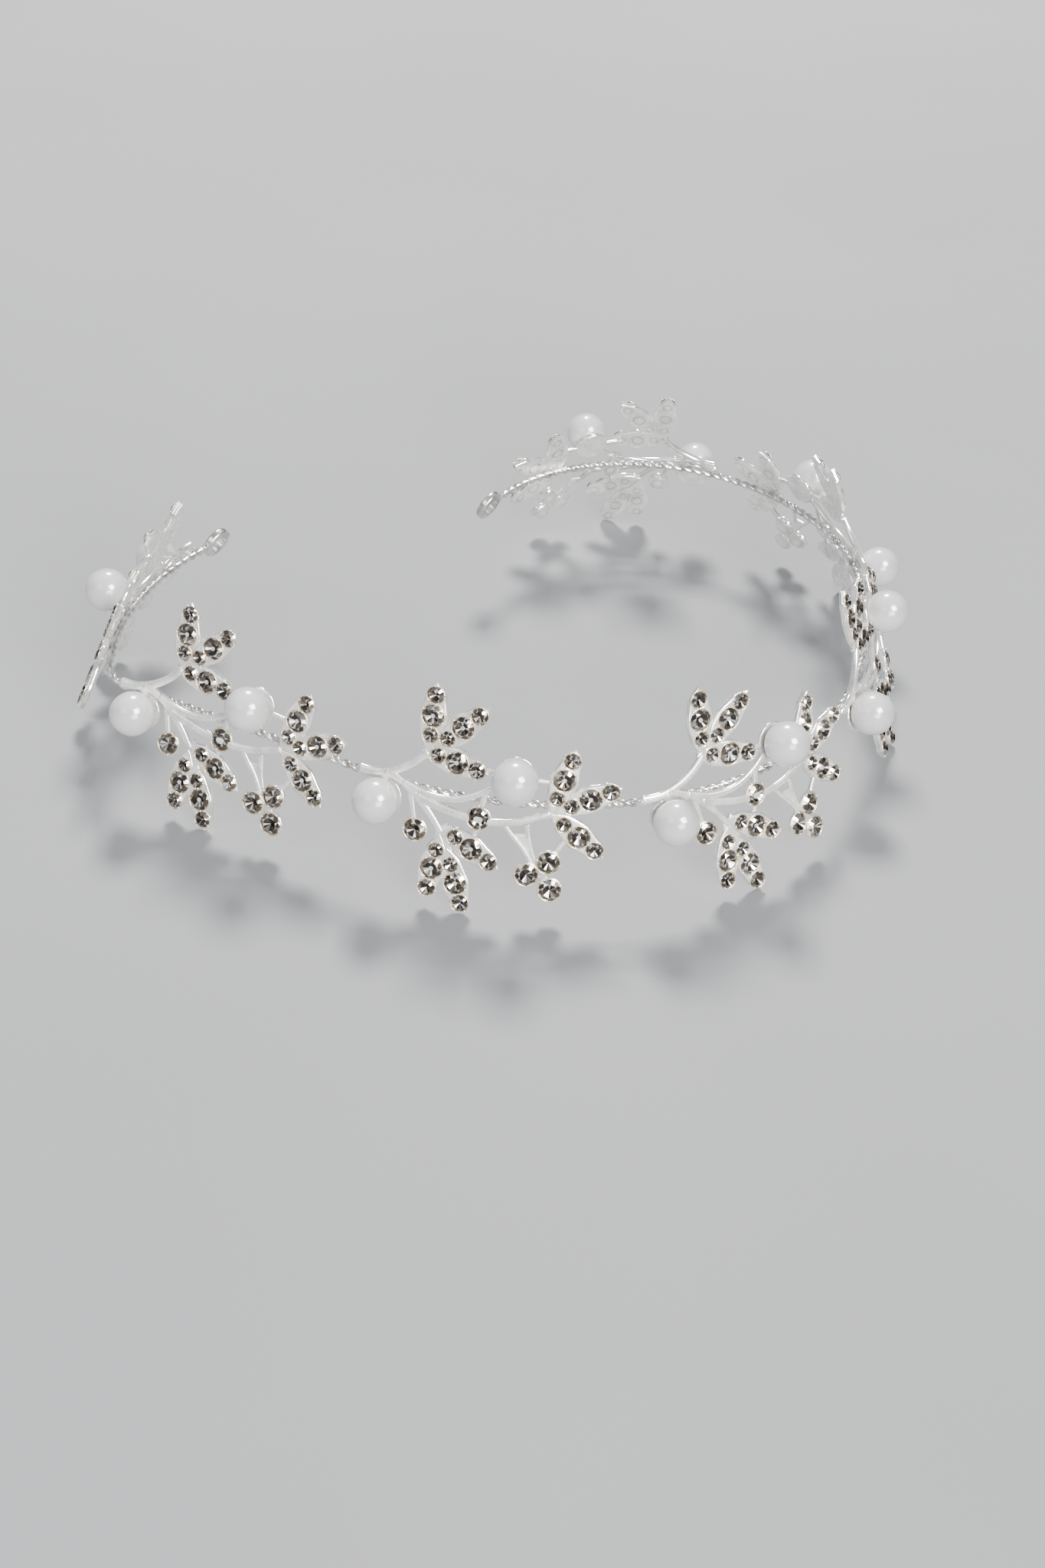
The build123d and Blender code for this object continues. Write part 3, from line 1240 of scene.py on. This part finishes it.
@dataclass(frozen=True)
class RopeWire:
    """The backbone: two strands twisted into one round rope, soldered solid at its ends."""

    band: Band
    strand_offset: float = 0.33
    strand_r: float = 0.415
    lay: float = 4.2
    spacing: float = 0.22
    sides: int = 22
    solid_r: float = 0.70
    solid_run: float = 1.6

    def radius(self, angle: float) -> float:
        """Radius of the two-lobed section."""
        reach = self.strand_r**2 - (self.strand_offset * sin(angle)) ** 2
        return self.strand_offset * abs(cos(angle)) + sqrt(max(0.0, reach))

    def build(self, finish: bpy.types.Material) -> bpy.types.Object:
        """The twisted rope.

        Args:
            finish: The plating.

        Returns:
            The piece.
        """
        shell, band = Shell(), self.band
        total = band.length + 2 * band.lead
        count = int(total / self.spacing)
        rings = []
        for i in range(count + 1):
            along = -band.lead + total * i / count
            spot = band.station(along)
            twist = tau * along / self.lay
            ends = min(along + band.lead, band.length + band.lead - along)
            solid = max(0.0, 1 - ends / self.solid_run)
            ring = []
            for j in range(self.sides):
                a = tau * j / self.sides
                r = self.radius(a - twist) * (1 - solid) + self.solid_r * solid
                ring.append(spot.origin + spot.rise * (r * cos(a)) + spot.face * (r * sin(a)))
            rings.append(ring)
        shell.loft(rings)
        return shell.make("rope_wire", [finish])


@dataclass(frozen=True)
class Lamp:
    """One soft light, aimed at the tiara; places and sizes in metres, power in watts."""

    name: str
    place: Place
    height: float
    size: Place
    power: float
    colour: Colour
    gloss_only: bool = False

    def hang(self) -> None:
        """Hang it over the floor."""
        data = bpy.data.lights.new(self.name, "AREA")
        data.shape = "RECTANGLE"
        data.size, data.size_y = self.size
        data.energy, data.color = self.power, self.colour
        lamp = bpy.data.objects.new(self.name, data)
        bpy.context.scene.collection.objects.link(lamp)
        lamp.visible_diffuse = not self.gloss_only
        spot = Vector((*self.place, self.height))
        turn = (AIM - spot).to_track_quat("-Z", "Y").to_matrix().to_4x4()
        lamp.matrix_world = Matrix.Translation(spot) @ turn


@dataclass(frozen=True)
class Studio:
    """Floor, soft lights and the camera."""

    camera_place: Triple = (-223.88, -255.46, 247.43)
    camera_turn: float = 41.02
    camera_down: float = 38.05
    camera_roll: float = 4.64
    lens: float = 50.0
    floor_side: float = 6.0
    lamps: tuple[Lamp, ...] = (
        Lamp("key", (0.55, 0.75), 1.10, (0.30, 0.30), 44.0, (1.0, 0.975, 0.94)),
        Lamp("fill", (-0.9, -0.1), 0.80, (0.7, 0.5), 4.0, (0.90, 0.95, 1.0)),
        Lamp("front", (-0.35, -1.05), 0.42, (0.6, 0.4), 15.0, (1.0, 0.985, 0.96)),
        Lamp("window", (0.02, -0.84), 0.86, (0.50, 0.50), 60.0, (1.0, 0.99, 0.97), True),
    )
    cards: int = 8
    card_ring: float = 1.4
    card_height: float = 0.56
    card_size: Place = (0.78, 0.40)
    sky: Colour = (0.86, 0.90, 0.97)
    sky_strength: float = 0.66

    def camera(self) -> None:
        """Set up the camera."""
        turn, down = radians(self.camera_turn), radians(self.camera_down)
        roll = radians(self.camera_roll)
        ahead = Vector((sin(turn) * cos(down), cos(turn) * cos(down), -sin(down)))
        right = Vector((cos(turn), -sin(turn), 0))
        up = right.cross(ahead)
        side = right * cos(roll) + up * sin(roll)
        lift = up * cos(roll) - right * sin(roll)
        data = bpy.data.cameras.new("camera")
        data.lens = self.lens
        data.sensor_width = 36.0
        data.clip_start = 0.01
        camera = bpy.data.objects.new("camera", data)
        bpy.context.scene.collection.objects.link(camera)
        rotation = Matrix((side, lift, -ahead)).transposed().to_4x4()
        camera.matrix_world = Matrix.Translation(Vector(self.camera_place) * METRES) @ rotation
        bpy.context.scene.camera = camera

    def floor(self, finish: bpy.types.Material) -> None:
        """Lay the floor.

        Args:
            finish: The paper.
        """
        half, below = self.floor_side / 2 / METRES, -0.02
        shell = Shell()
        shell.points = [Vector((x * half, y * half, below)) for x, y in SQUARE]
        shell.face((0, 1, 2, 3), smooth=False)
        shell.make("floor", [finish])

    def card(self, number: int, finish: bpy.types.Material) -> None:
        """Stand a dark card that only shows as a reflection in polished pieces, a painted dark
        reflection in place of unlit surroundings.

        Args:
            number: Which card of the ring, from 1.
            finish: Its paint.
        """
        angle = tau * (number - 0.5) / self.cards
        spot = Vector((self.card_ring * cos(angle), self.card_ring * sin(angle), self.card_height))
        turn = (AIM - spot).to_track_quat("Z", "Y").to_matrix()
        shell, (width, height) = Shell(), self.card_size
        for x, y in SQUARE:
            corner = spot + turn @ Vector((x * width / 2, y * height / 2, 0))
            shell.points.append(corner / METRES)
        shell.face((0, 1, 2, 3), smooth=False)
        card = shell.make(f"dark_card_{number}", [finish])
        card.visible_camera = card.visible_diffuse = card.visible_shadow = False

    def world(self) -> None:
        """A quiet grey surround."""
        world = bpy.data.worlds.new("surround")
        bpy.context.scene.world = world
        world.use_nodes = True
        background = world.node_tree.nodes["Background"]
        background.inputs["Color"].default_value = (*self.sky, 1.0)
        background.inputs["Strength"].default_value = self.sky_strength

    def build(self, finish: bpy.types.Material, dark: bpy.types.Material) -> None:
        """Set the whole studio.

        Args:
            finish: The floor's paper.
            dark: The cards' paint.
        """
        self.camera()
        self.floor(finish)
        self.world()
        for lamp in self.lamps:
            lamp.hang()
        for number in range(1, self.cards + 1):
            self.card(number, dark)


@dataclass
class Tiara:
    """The whole tiara, piece by piece."""

    band: Band
    nodes: dict[str, bpy.types.Object]
    stones: dict[StoneSize, StoneCut] = field(
        default_factory=lambda: {
            StoneSize.SMALL: StoneCut(StoneSize.SMALL, 2.6, 0.0),
            StoneSize.LARGE: StoneCut(StoneSize.LARGE, 3.8, 3.4),
            StoneSize.MEDIUM: StoneCut(StoneSize.MEDIUM, 2.9, 7.0),
        }
    )

    def settle(self, piece: bpy.types.Object, slot: Slot, *nodes: str) -> None:
        """Fix a piece to the frame in place of its solids.

        Args:
            piece: The piece.
            slot: The record's slot for the piece, not used.
            nodes: The solids that it stands for.
        """
        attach(piece, BODY)
        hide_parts(*nodes)
        LOG.info("%s stands for %s", piece.name, ", ".join(nodes))

    def build(self) -> None:
        """Build and dress every piece."""
        metals = [SATIN.material(), POLISHED.material(), WARM.material()]
        rope = ROPE.material()
        crystal = CRYSTAL.material()
        lacquer = LACQUER.material()
        self.settle(RopeWire(self.band).build(rope), Slot.WIRE, "backbone_wire")
        for side in ("left", "right"):
            eye = self.nodes[f"end_eye_{side}"]
            eye.data.materials.clear()
            eye.data.materials.append(rope)
            LOG.info("end_eye_%s keeps its solid", side)
        for number in range(1, self.band.castings + 1):
            casting = SprigCasting(self.band, number, self.stones)
            metal = casting.build_metal(metals)
            self.settle(metal, Slot.SILVER, f"sprig_casting_{number}")
            for size in StoneSize:
                piece = casting.build_stones(size, crystal)
                self.settle(piece, Slot.CRYSTAL, f"crystals_{size.value}_{number}")
            for index, place in enumerate(casting.pearls):
                count = (number - 1) * len(casting.pearls) + index + 1
                piece = Pearl(casting.board(place), count).build(lacquer)
                self.settle(piece, Slot.PEARL, f"pearl_{count:02d}")


def main() -> None:
    """Load the frame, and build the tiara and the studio."""
    logging.basicConfig(level=logging.INFO, format="%(message)s")
    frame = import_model()
    low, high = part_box("backbone_wire")
    band = Band().settled(low, high)
    dark = DARK.material()
    Studio().build(PAPER.material(), dark)
    Tiara(band, frame["nodes"]).build()
    LOG.info("shift %s", tuple(round(v, 4) for v in band.shift))


if __name__ == "__main__":
    main()
